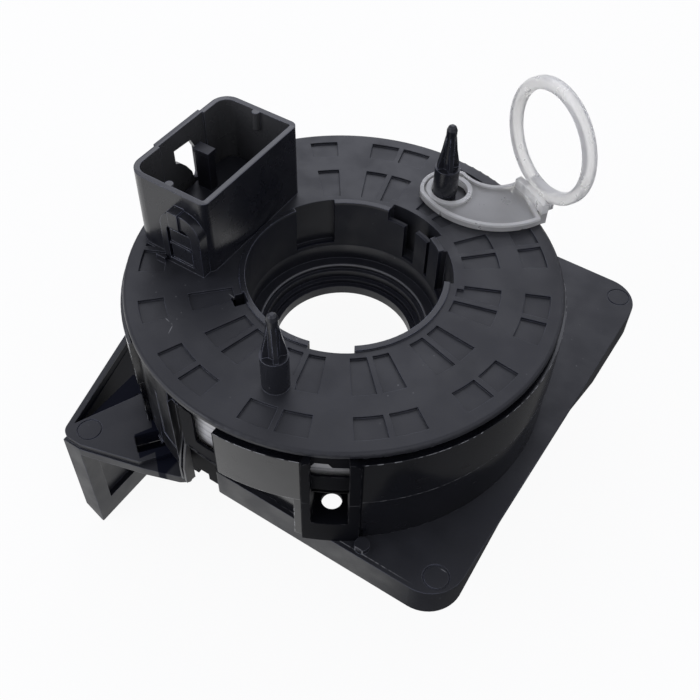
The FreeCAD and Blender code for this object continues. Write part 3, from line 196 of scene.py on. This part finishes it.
class Graph:
    """A new material and short names for the nodes in it. Places are the piece's own, in metres."""

    def __init__(self, name):
        self.material = bpy.data.materials.new(name)
        self.material.use_nodes = True
        self.nodes = self.material.node_tree.nodes
        self.links = self.material.node_tree.links
        self.shader = self.nodes["Principled BSDF"]
        self.place = self.nodes.new("ShaderNodeTexCoord").outputs["Object"]

    def put(self, value, socket):
        """Links or sets one input."""
        if isinstance(value, bpy.types.NodeSocket):
            self.links.new(value, socket)
        else:
            socket.default_value = value

    def set(self, **inputs):
        """Inputs of the shader, with spaces in their names written as underscores."""
        for name, value in inputs.items():
            self.put(value, self.shader.inputs[name.replace("_", " ")])

    def noise(self, scale, detail=3.0, stretch=(1.0, 1.0, 1.0)):
        """Soft noise between 0 and 1 with that many features to the metre."""
        mapping = self.nodes.new("ShaderNodeMapping")
        mapping.inputs["Scale"].default_value = stretch
        self.links.new(self.place, mapping.inputs["Vector"])
        node = self.nodes.new("ShaderNodeTexNoise")
        self.links.new(mapping.outputs["Vector"], node.inputs["Vector"])
        node.inputs["Scale"].default_value = scale
        node.inputs["Detail"].default_value = detail
        return node.outputs["Fac"]

    def cells(self, scale):
        """Distance to the nearest of many scattered points, for specks."""
        node = self.nodes.new("ShaderNodeTexVoronoi")
        self.links.new(self.place, node.inputs["Vector"])
        node.inputs["Scale"].default_value = scale
        return node.outputs["Distance"]

    def span(self, value, low, high, to_low=0.0, to_high=1.0):
        """value moved smoothly from low..high to to_low..to_high, and held there outside."""
        node = self.nodes.new("ShaderNodeMapRange")
        node.interpolation_type = "SMOOTHSTEP"
        self.put(value, node.inputs["Value"])
        bounds = (("From Min", low), ("From Max", high), ("To Min", to_low), ("To Max", to_high))
        for name, number in bounds:
            node.inputs[name].default_value = number
        return node.outputs["Result"]

    def varied(self, scale, detail, to_low=0.0, to_high=1.0, stretch=(1.0, 1.0, 1.0)):
        """A value that wanders from to_low to to_high over the surface."""
        return self.span(self.noise(scale, detail, stretch), NOISE_LOW, NOISE_HIGH, to_low, to_high)

    def math(self, operation, first, second=0.0):
        """One operation on two values."""
        node = self.nodes.new("ShaderNodeMath")
        node.operation = operation
        self.put(first, node.inputs[0])
        self.put(second, node.inputs[1])
        return node.outputs[0]

    def product(self, first, *others):
        """Some values multiplied with each other."""
        for value in others:
            first = self.math("MULTIPLY", first, value)
        return first

    def most(self, first, *others):
        """The greatest of some values."""
        for value in others:
            first = self.math("MAXIMUM", first, value)
        return first

    def blend(self, share, first, second):
        """Colour between first and second by a share from 0 to 1."""
        node = self.nodes.new("ShaderNodeMix")
        node.data_type = "RGBA"
        for value, socket in zip((share, first, second), MIX_INPUTS):
            self.put(value, node.inputs[socket])
        return node.outputs[MIX_OUTPUT]

    def axis(self, name):
        """One coordinate of the place."""
        node = self.nodes.new("ShaderNodeSeparateXYZ")
        self.links.new(self.place, node.inputs[0])
        return node.outputs[name]

    def radius(self):
        """Distance from the column's axis."""
        across = self.product(self.axis("X"), self.axis("X"))
        back = self.product(self.axis("Y"), self.axis("Y"))
        return self.math("SQRT", self.math("ADD", across, back))

    def along(self, start, direction):
        """Distance from a place in the plan along a direction."""
        node = self.nodes.new("ShaderNodeVectorMath")
        node.operation = "DOT_PRODUCT"
        self.links.new(self.place, node.inputs[0])
        node.inputs[1].default_value = (direction[0], direction[1], 0.0)
        offset = start[0] * direction[0] + start[1] * direction[1]
        return self.math("SUBTRACT", node.outputs["Value"], offset)

    def left_of(self, start, end):
        """Distance in the plan to the left of the line from start to end."""
        course = (Vector(end) - Vector(start)).normalized()
        return self.along(start, (-course.y, course.x))

    def window(self, value, middle, half, hard=0.5):
        """1 where a value is within a hard share of half from middle, 0 from half away on."""
        away = self.math("ABSOLUTE", self.math("SUBTRACT", value, middle))
        return self.span(away, half, half * hard)

    def turns(self, *spans):
        """1 within any of some spans of degrees round the column, and 0 elsewhere."""
        turn = self.math("ARCTAN2", self.axis("Y"), self.axis("X"))
        found = 0.0
        for first, last in spans:
            away = self.math("ABSOLUTE", self.math("SUBTRACT", turn, math.radians((first + last) / 2)))
            half = math.radians((last - first) / 2)
            found = self.most(found, self.span(away, half, half - math.radians(TURN_EASE)))
        return found

    def scratches(self, lines):
        """1 along some fine straight scratches, broken up here and there."""
        found = 0.0
        for start, end in lines:
            step = Vector(end) - Vector(start)
            middle = step.length / 2
            beside = self.window(self.left_of(start, end), 0.0, SCRATCH_HALF_WIDTH * 2)
            within = self.window(self.along(start, step.normalized()), middle, middle + SCRATCH_HALF_WIDTH)
            found = self.most(found, self.product(beside, within))
        return self.product(found, self.span(self.noise(700, 2), 0.35, 0.55))

    def rounded(self, radius):
        """Surface direction with the edges rounded off by a radius."""
        node = self.nodes.new("ShaderNodeBevel")
        node.samples = BEVEL_SAMPLES
        node.inputs["Radius"].default_value = radius
        return node.outputs["Normal"]

    def edges(self, rounded):
        """1 along the edges that rounded() turns and 0 on the faces."""
        true_normal = self.nodes.new("ShaderNodeNewGeometry").outputs["Normal"]
        node = self.nodes.new("ShaderNodeVectorMath")
        node.operation = "DOT_PRODUCT"
        self.links.new(rounded, node.inputs[0])
        self.links.new(true_normal, node.inputs[1])
        turned = self.math("SUBTRACT", 1.0, node.outputs["Value"])
        return self.span(turned, *EDGE_TURNED)

    def bump(self, height, depth, normal=None):
        """Surface direction after a relief of a depth in metres, on top of another direction."""
        node = self.nodes.new("ShaderNodeBump")
        node.inputs["Strength"].default_value = 1.0
        node.inputs["Distance"].default_value = depth
        self.put(height, node.inputs["Height"])
        if normal is not None:
            self.links.new(normal, node.inputs["Normal"])
        return node.outputs["Normal"]


def grey(value, tint=(1.0, 1.0, 1.0)):
    """A grey with a tint, as a colour."""
    return tuple(value * part for part in tint) + (1.0,)


# Places on the object: each takes a graph and gives a share from 0 to 1


def above_disc(graph):
    """The connector shroud and the pins, which stand on the disc."""
    return graph.span(graph.axis("Z"), DISC_TOP + 0.0001, DISC_TOP + 0.0004)


def inside_shroud(graph):
    """The inner walls of the connector shroud, made paler as painted light."""
    above = graph.span(graph.axis("Z"), DISC_TOP + 0.0003, DISC_TOP + 0.0006)
    across = graph.window(graph.axis("X"), SHROUD_MIDDLE[0], SHROUD_HALF[0], 0.98)
    back = graph.window(graph.axis("Y"), SHROUD_MIDDLE[1], SHROUD_HALF[1], 0.98)
    return graph.product(above, across, back)


def in_collar(graph):
    """The inner wall of the collar, below its lip, where painted shade is laid."""
    inner = graph.span(graph.radius(), COLLAR_RADIUS + 0.0009, COLLAR_RADIUS + 0.0007)
    return graph.product(inner, graph.span(graph.axis("Z"), DISC_TOP, DISC_TOP - 0.0004, 0.0, 0.60))


def bore_wall(graph):
    """The lower part of the hub, round its bore, where painted shade is laid."""
    return graph.span(graph.axis("Z"), BORE_WALL_TOP, BORE_WALL_TOP - 0.0010, 0.0, 0.30)


def hub_step(graph):
    """The rim of the step inside the hub, where a painted highlight is laid."""
    near = graph.window(graph.radius(), HUB_STEP_RADIUS, 0.0005)
    return graph.product(near, graph.window(graph.axis("Z"), HUB_STEP_HEIGHT, 0.0005))


def cover_end(graph):
    """The end face of the outlet's cover, in the slot beside the case, where painted shade is laid."""
    return graph.turns(COVER_END_TURNS)


def wing_pockets(graph):
    """The wing's pockets beside and behind its ridge, inside its outer wall."""
    beyond = 0.0
    for start, end in zip(WING_RIDGE, WING_RIDGE[1:]):
        beyond = graph.most(beyond, graph.span(graph.left_of(start, end), 0.0, 0.0003))
    inward = graph.left_of(*WING_WALL)
    past_wall = graph.span(inward, WING_WALL_WIDTH, WING_WALL_WIDTH + 0.0002)
    below_rim = graph.span(graph.axis("Z"), BASE_TOP - 0.0001, BASE_TOP - 0.0004)
    return graph.product(beyond, graph.most(past_wall, below_rim), graph.span(inward, 0.0010, 0.0014))


def wing_hole(graph):
    """The wing's square hole."""
    found = 1.0
    for direction, half in WING_HOLE_AXES:
        found = graph.product(found, graph.window(graph.along(WING_HOLE, direction), 0.0, half, 0.93))
    return found


def under_outlet(graph):
    """The wing's pockets and its hole, which lie in the shade of the outlet."""
    across = graph.span(graph.axis("X"), WING_RIGHT, WING_RIGHT - 0.0010)
    back = graph.span(graph.axis("Y"), WING_BACK, WING_BACK - 0.0004)
    above = graph.span(graph.axis("Z"), WING_LOWEST, WING_LOWEST + 0.0010)
    return graph.product(graph.most(wing_pockets(graph), wing_hole(graph)), across, back, above)


# Materials


def edge_wear_and_glint(graph, soft, wear, glossy_share):
    """Share of the pale edges, which are wear and painted highlight, with the painted highlight stronger
    where the plastic is glossier.
    """
    wear_and_glint = graph.product(graph.edges(soft), graph.span(graph.noise(230, 3), 0.35, 0.65, wear * 0.3, wear))
    if glossy_share is not None:
        wear_and_glint = graph.product(wear_and_glint, graph.span(glossy_share, 0.0, 1.0, 0.6, 1.6))
    return wear_and_glint


def dusted(graph, tone, dust):
    """A tone with specks and a thin film of dust on it."""
    speck = graph.span(graph.cells(420), 0.10, 0.05)
    speck = graph.product(speck, graph.span(graph.noise(60, 2), 0.52, 0.70, 0.0, dust))
    tone = graph.blend(speck, tone, grey(SPECK_GREY))
    film = graph.span(graph.noise(28, 5), 0.45, 0.75, 0.0, dust * 0.12)
    return graph.blend(film, tone, grey(DUST_GREY))


def moulded(name, shade, roughness, grain, wear=0.5, dust=0.3, shaded=None, glossy=None,
            paler=None, pale=0.0, lines=()):
    """Black moulded plastic: mottled tone, fine grain, pale edges of wear and painted highlight, scratches
    and settled dust.

    shaded, glossy and paler are places: where painted shade darkens and dulls the plastic, where it is
    glossier with stronger painted highlight on its edges, and where painted light gives its tone the grey
    of pale. lines are its scratches.
    """
    graph = Graph(name)
    soft = graph.rounded(PLASTIC_EDGE)
    tone = graph.blend(graph.varied(70, 4), grey(shade * 0.85, COOL), grey(shade * 1.15, COOL))
    rough = graph.varied(140, 4, roughness - 0.06, roughness + 0.07)
    glossy_share = glossy(graph) if glossy else None
    if glossy:
        rough = graph.product(rough, graph.span(glossy_share, 0.0, 1.0, 1.0, 0.6))
    # Painted light: the paler places take the grey of pale
    if paler:
        tone = graph.blend(paler(graph), tone, grey(pale))
    # Pale edges of wear and painted highlight
    tone = graph.blend(edge_wear_and_glint(graph, soft, wear, glossy_share), tone, grey(WEAR_AND_GLINT_GREY, COOL))
    tone = dusted(graph, tone, dust)
    if lines:
        tone = graph.blend(graph.scratches(lines), tone, grey(SCRATCH_GREY))
    # Painted shade: the shaded places take a deep bluish grey and lose their gloss
    if shaded:
        share = shaded(graph)
        tone = graph.blend(share, tone, grey(shade * 0.7, PAINTED_SHADE_TINT))
        rough = graph.most(rough, graph.product(share, 0.6))
        graph.set(Specular_IOR_Level=graph.span(share, 0.0, 1.0, 0.5, 0.06))
    texture = graph.bump(graph.noise(2600, 2), grain, soft)
    graph.set(Base_Color=tone, Roughness=rough, Normal=texture)
    return graph.material


def polished(name, shade, roughness, scuffs):
    """Glossy black plastic with soft waves and hairline scuffs, a painted highlight along the seam, pale
    edge chips that are partly painted highlight, and painted shade in the openings.
    """
    graph = Graph(name)
    soft = graph.rounded(PLASTIC_EDGE)
    # Painted shade: within the case's openings the gloss is dulled so they read dark
    painted_shade_turns = graph.turns(OUTLET_TURNS, ALCOVE_TURNS)
    unshaded_turns = graph.span(painted_shade_turns, 0.0, 1.0, 1.0, 0.12)
    chips = graph.span(graph.noise(520, 3), 0.47, 0.58)
    # Pale chips on the edges, partly real chipping and partly painted highlight, left off the
    # painted-shade openings
    chips_and_glint = graph.product(graph.edges(soft), chips, unshaded_turns)
    # Painted highlight along the seam, broken up by the chip noise
    seam = graph.product(graph.window(graph.axis("Z"), SEAM, 0.00022), unshaded_turns)
    seam = graph.product(seam, graph.span(chips, 0.0, 1.0, 0.25, 0.8))
    tone = graph.blend(graph.varied(60, 3), grey(shade * 0.8, COOL), grey(shade * 1.2, COOL))
    tone = graph.blend(chips_and_glint, tone, grey(CHIP_AND_GLINT_GREY))
    tone = graph.blend(seam, tone, grey(SEAM_HIGHLIGHT_GREY))
    hair = graph.span(graph.noise(160, 5, (1.0, 1.0, 5.0)), 0.60, 0.72, 0.0, scuffs)
    rough = graph.math("ADD", graph.varied(90, 3, roughness, roughness + 0.10), hair)
    rough = graph.most(rough, graph.product(painted_shade_turns, 0.55))
    gloss = graph.span(painted_shade_turns, 0.0, 1.0, 0.5, 0.05)
    wave = graph.bump(graph.noise(55, 2), 0.00012, soft)
    texture = graph.bump(graph.noise(900, 3), 0.000004, wave)
    graph.set(Base_Color=tone, Roughness=rough, Normal=texture, Specular_IOR_Level=gloss)
    return graph.material


def milky(name):
    """Translucent white plastic of the lock: a dull plate, a brighter rim and ring, flow marks."""
    graph = Graph(name)
    soft = graph.rounded(LOCK_EDGE)
    flow = graph.varied(110, 4)
    plate = graph.blend(flow, grey(0.50, WARM), grey(0.56, WARM))
    ring = graph.blend(flow, grey(0.92, WARM), grey(1.0, WARM))
    above_plate = graph.span(graph.axis("Z"), LOCK_PLATE_TOP, LOCK_PLATE_TOP + 0.0003)
    tone = graph.blend(above_plate, plate, ring)
    tone = graph.blend(graph.product(graph.edges(soft), 0.6), tone, grey(1.0, WARM))
    rough = graph.varied(200, 3, 0.26, 0.40)
    texture = graph.bump(graph.noise(420, 4), 0.00004, soft)
    graph.set(Base_Color=tone, Roughness=rough, Normal=texture, Transmission_Weight=0.60, IOR=1.42)
    return graph.material


def metal(name, colour, roughness):
    """Plated metal with drawn marks and dull spots."""
    graph = Graph(name)
    dull = graph.span(graph.noise(700, 3), 0.4, 0.7)
    darker = tuple(part * 0.7 for part in colour) + (1.0,)
    tone = graph.blend(dull, colour + (1.0,), darker)
    rough = graph.varied(900, 2, roughness - 0.06, roughness + 0.10, (1.0, 1.0, 0.15))
    texture = graph.bump(graph.noise(1500, 2, (1.0, 1.0, 0.1)), 0.000006, graph.rounded(METAL_EDGE))
    graph.set(Base_Color=tone, Roughness=rough, Normal=texture, Metallic=1.0)
    return graph.material


def film(name, shade):
    """Smooth plastic film with slight ripples, and painted shade where it lies at the back of the alcove.
    """
    graph = Graph(name)
    tone = graph.blend(graph.varied(80, 3), grey(shade * 0.94), grey(shade * 1.04))
    # Painted shade within the alcove's turns
    tone = graph.blend(graph.turns(ALCOVE_TURNS), tone, grey(PAINTED_SHADE_GREY))
    rough = graph.varied(120, 3, 0.30, 0.45)
    graph.set(Base_Color=tone, Roughness=rough, Normal=graph.bump(graph.noise(300, 2), 0.00002))
    return graph.material


def ribbon(name, node, conductors=6):
    """Laminated flat cable: bright conductors under a grey film, with painted shade below the sill at the
    back of the alcove.
    """
    low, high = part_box(node)
    graph = Graph(name)
    height = graph.math("DIVIDE", graph.math("SUBTRACT", graph.axis("Z"), low.z), high.z - low.z)
    part = graph.math("FRACT", graph.product(height, float(conductors)))
    off_middle = graph.math("ABSOLUTE", graph.math("SUBTRACT", part, 0.5))
    conductor = graph.span(off_middle, 0.40, 0.34)
    tone = graph.blend(conductor, grey(0.32, FILM_TINT), grey(0.46, CONDUCTOR_TINT))
    cloud = graph.span(graph.noise(120, 4), 0.35, 0.7)
    tone = graph.blend(graph.product(cloud, 0.3), tone, grey(0.55))
    # Painted shade below the sill within the alcove's turns
    below_sill = graph.span(graph.axis("Z"), ALCOVE_SHADE_TOP, ALCOVE_SHADE_TOP - 0.0010)
    behind = graph.product(graph.turns(ALCOVE_TURNS), below_sill)
    tone = graph.blend(behind, tone, grey(PAINTED_SHADE_GREY))
    rough = graph.most(graph.varied(150, 3, 0.22, 0.38), graph.product(behind, 0.9))
    texture = graph.bump(conductor, 0.00003, graph.bump(graph.noise(90, 2), 0.0002))
    graph.set(Base_Color=tone, Roughness=rough, Normal=texture)
    return graph.material


def circuit(name):
    """Green solder resist with copper tracks showing through."""
    graph = Graph(name)
    brick = graph.nodes.new("ShaderNodeTexBrick")
    graph.links.new(graph.place, brick.inputs["Vector"])
    for socket, value in (("Scale", 160.0), ("Mortar Size", 0.03), ("Mortar Smooth", 0.2)):
        brick.inputs[socket].default_value = value
    tracks = graph.span(brick.outputs["Fac"], 0.3, 0.7)
    tone = graph.blend(tracks, RESIST, RESIST_ON_TRACK)
    rough = graph.varied(300, 3, 0.28, 0.42)
    graph.set(Base_Color=tone, Roughness=rough, Normal=graph.bump(tracks, 0.00003))
    return graph.material


def table_paint():
    """Pale table that keeps a soft shadow and looks nearly white to the camera and in gloss, except that
    its glow in gloss fades towards +X as a painted darker reflection.
    """
    graph = Graph("table_paint")
    lighter = tuple(min(1.0, part * 1.01) for part in FLOOR_COLOUR[:3]) + (1.0,)
    graph.set(Base_Color=graph.blend(graph.varied(3, 2), FLOOR_COLOUR, lighter), Roughness=0.8)
    path = graph.nodes.new("ShaderNodeLightPath")
    in_gloss = path.outputs["Is Glossy Ray"]
    seen = graph.most(path.outputs["Is Camera Ray"], path.outputs["Is Transmission Ray"])
    share = graph.most(graph.product(seen, FLOOR_SEEN_GLOW), graph.product(in_gloss, FLOOR_GLOSS_GLOW))
    # Painted reflection: the glow seen in gloss fades towards +X
    faded = graph.span(graph.axis("X"), *FLOOR_FADE_X, 0.0, 1.0 - FLOOR_FADED_GLOW)
    glow = graph.nodes.new("ShaderNodeEmission")
    glow.inputs["Color"].default_value = WHITE
    graph.put(graph.math("SUBTRACT", 1.0, graph.product(in_gloss, faded)), glow.inputs["Strength"])
    choice = graph.nodes.new("ShaderNodeMixShader")
    graph.links.new(share, choice.inputs["Fac"])
    graph.links.new(graph.shader.outputs["BSDF"], choice.inputs[1])
    graph.links.new(glow.outputs["Emission"], choice.inputs[2])
    graph.links.new(choice.outputs["Shader"], graph.nodes["Material Output"].inputs["Surface"])
    return graph.material


def coat(node, material):
    """Gives a CAD node its material in every slot."""
    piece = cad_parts[node]
    if not piece.material_slots:
        piece.data.materials.append(material)
    for slot in piece.material_slots:
        slot.material = material


def dress_nodes():
    """A material of its own kind for each CAD node."""
    for node, name, shade, roughness, grain in PLAIN_PIECES:
        coat(node, moulded(name, shade, roughness, grain))
    coat("rotor_disc", moulded("disc_plastic", 0.009, 0.46, 0.000012, shaded=in_collar, glossy=above_disc,
                               paler=inside_shroud, pale=0.050, lines=DISC_SCRATCHES))
    coat("base_plate", moulded("base_plastic", 0.009, 0.46, 0.000012, shaded=under_outlet,
                               lines=BASE_SCRATCHES))
    coat("rotor_hub", moulded("hub_plastic", 0.012, 0.40, 0.000006, shaded=bore_wall, glossy=hub_step,
                              paler=hub_step, pale=0.16))
    coat("outlet_cover", moulded("outlet_plastic", 0.004, 0.36, 0.000008, wear=0.8, dust=0.7,
                                 shaded=cover_end))
    coat("cable_case", polished("case_gloss", 0.004, 0.12, 0.14))
    coat("lower_case", polished("lower_gloss", 0.004, 0.12, 0.14))
    coat("flat_cable", ribbon("flat_cable_film", "flat_cable"))
    coat("upper_glide_sheet", film("upper_glide_film", 0.70))
    coat("lower_glide_sheet", film("lower_glide_film", 0.70))
    coat("shroud_contacts", metal("shroud_contact_tin", TIN, 0.28))
    coat("header_contacts", metal("header_contact_tin", TIN, 0.28))
    coat("board_screws", metal("screw_zinc", ZINC, 0.34))
    coat("circuit_board", circuit("board_resist"))
    coat("transport_lock", milky("lock_plastic"))


# Pieces that the scene adds


def drawn_in_cover():
    """The outlet's cover, with its skin drawn in towards the wound cable as it is on the real part."""
    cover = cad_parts["outlet_cover"].copy()
    cover.data = cover.data.copy()
    cover.name = "outlet_cover_skin"
    for vertex in cover.data.vertices:
        place = vertex.co
        radius = math.hypot(place.x, place.y)
        if radius <= SKIN_RADIUS - SKIN_SLACK:
            continue
        turn = math.degrees(math.atan2(place.y, place.x))
        inward = min(max((SKIN_START_TURN - turn) / SKIN_EASE, 0.0), 1.0)
        wanted = SKIN_DRAWN_RADIUS + (radius - SKIN_RADIUS) * SKIN_KEPT_WIDTH
        scale = 1.0 + (wanted / radius - 1.0) * inward
        place.x *= scale
        place.y *= scale
    bpy.context.scene.collection.objects.link(cover)
    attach(cover, "stator")
    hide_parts("outlet_cover")


def hole_floor():
    """Closed bottom of the wing's square hole."""
    centre = Vector(WING_HOLE)
    (first, first_half), (second, second_half) = WING_HOLE_AXES
    corners = []
    for ahead, aside in ((-1, -1), (1, -1), (1, 1), (-1, 1)):
        corners.append(centre + Vector(first) * ahead * first_half + Vector(second) * aside * second_half)
    heights = (HOLE_FLOOR_UNDER, HOLE_FLOOR_TOP)
    places = [(corner.x, corner.y, height) for height in heights for corner in corners]
    faces = [(3, 2, 1, 0), (4, 5, 6, 7)]
    faces += [(k, (k + 1) % 4, (k + 1) % 4 + 4, k + 4) for k in range(4)]
    mesh = bpy.data.meshes.new("wing_hole_floor")
    mesh.from_pydata(places, [], faces)
    mesh.materials.append(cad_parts["base_plate"].material_slots[0].material)
    piece = bpy.data.objects.new("wing_hole_floor", mesh)
    bpy.context.scene.collection.objects.link(piece)
    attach(piece, "stator")


# Studio


def make_camera():
    """The camera at the photograph's place, pitch and roll."""
    data = bpy.data.cameras.new("camera")
    data.sensor_width = SENSOR_MM
    data.lens = FOCAL_PIXELS * SENSOR_MM / PICTURE_PIXELS
    data.clip_start = CAMERA_NEAR
    camera = bpy.data.objects.new("camera", data)
    pitch = math.radians(CAMERA_PITCH)
    roll = math.radians(CAMERA_ROLL)
    forward = Vector((0.0, math.cos(pitch), -math.sin(pitch)))
    level_up = Vector((0.0, math.sin(pitch), math.cos(pitch)))
    level_right = Vector((1.0, 0.0, 0.0))
    right = level_right * math.cos(roll) + level_up * math.sin(roll)
    up = level_up * math.cos(roll) - level_right * math.sin(roll)
    turned = Matrix((right, up, -forward)).transposed().to_4x4()
    round_z = Matrix.Rotation(math.radians(CAMERA_AZIMUTH), 4, "Z")
    camera.matrix_world = Matrix.Translation(CAMERA_PLACE) @ round_z @ turned
    bpy.context.scene.collection.objects.link(camera)
    bpy.context.scene.camera = camera


def make_lamps():
    """Large soft lamps that point at the object."""
    for name, place, power in LAMPS:
        data = bpy.data.lights.new(name, "AREA")
        data.shape = "SQUARE"
        data.size = LAMP_WIDTH
        data.energy = power
        data.color = SKY_TINT[:3]
        lamp = bpy.data.objects.new(name, data)
        lamp.location = place
        lamp.rotation_euler = (-Vector(place)).to_track_quat("-Z", "Y").to_euler()
        bpy.context.scene.collection.objects.link(lamp)


def make_world():
    """Even pale light from all round, and plain white where the camera sees past the table."""
    world = bpy.data.worlds.new("studio")
    world.use_nodes = True
    bpy.context.scene.world = world
    nodes = world.node_tree.nodes
    links = world.node_tree.links
    light = nodes["Background"]
    light.inputs["Color"].default_value = SKY_TINT
    light.inputs["Strength"].default_value = WORLD_STRENGTH
    seen = nodes.new("ShaderNodeBackground")
    seen.inputs["Color"].default_value = WHITE
    seen.inputs["Strength"].default_value = 1.0
    path = nodes.new("ShaderNodeLightPath")
    choice = nodes.new("ShaderNodeMixShader")
    links.new(path.outputs["Is Camera Ray"], choice.inputs["Fac"])
    links.new(light.outputs["Background"], choice.inputs[1])
    links.new(seen.outputs["Background"], choice.inputs[2])
    links.new(choice.outputs["Shader"], nodes["World Output"].inputs["Surface"])


def make_floor():
    """A plain square table top just under the object."""
    corners = [(x * FLOOR_HALF, y * FLOOR_HALF, 0.0) for x, y in ((-1, -1), (1, -1), (1, 1), (-1, 1))]
    mesh = bpy.data.meshes.new("floor")
    mesh.from_pydata(corners, [], [(0, 1, 2, 3)])
    mesh.materials.append(table_paint())
    floor = bpy.data.objects.new("floor", mesh)
    floor.location.z = cad_low.z
    bpy.context.scene.collection.objects.link(floor)


dress_nodes()
drawn_in_cover()
hole_floor()
make_camera()
make_lamps()
make_world()
make_floor()
bpy.context.scene.view_settings.view_transform = "Standard"
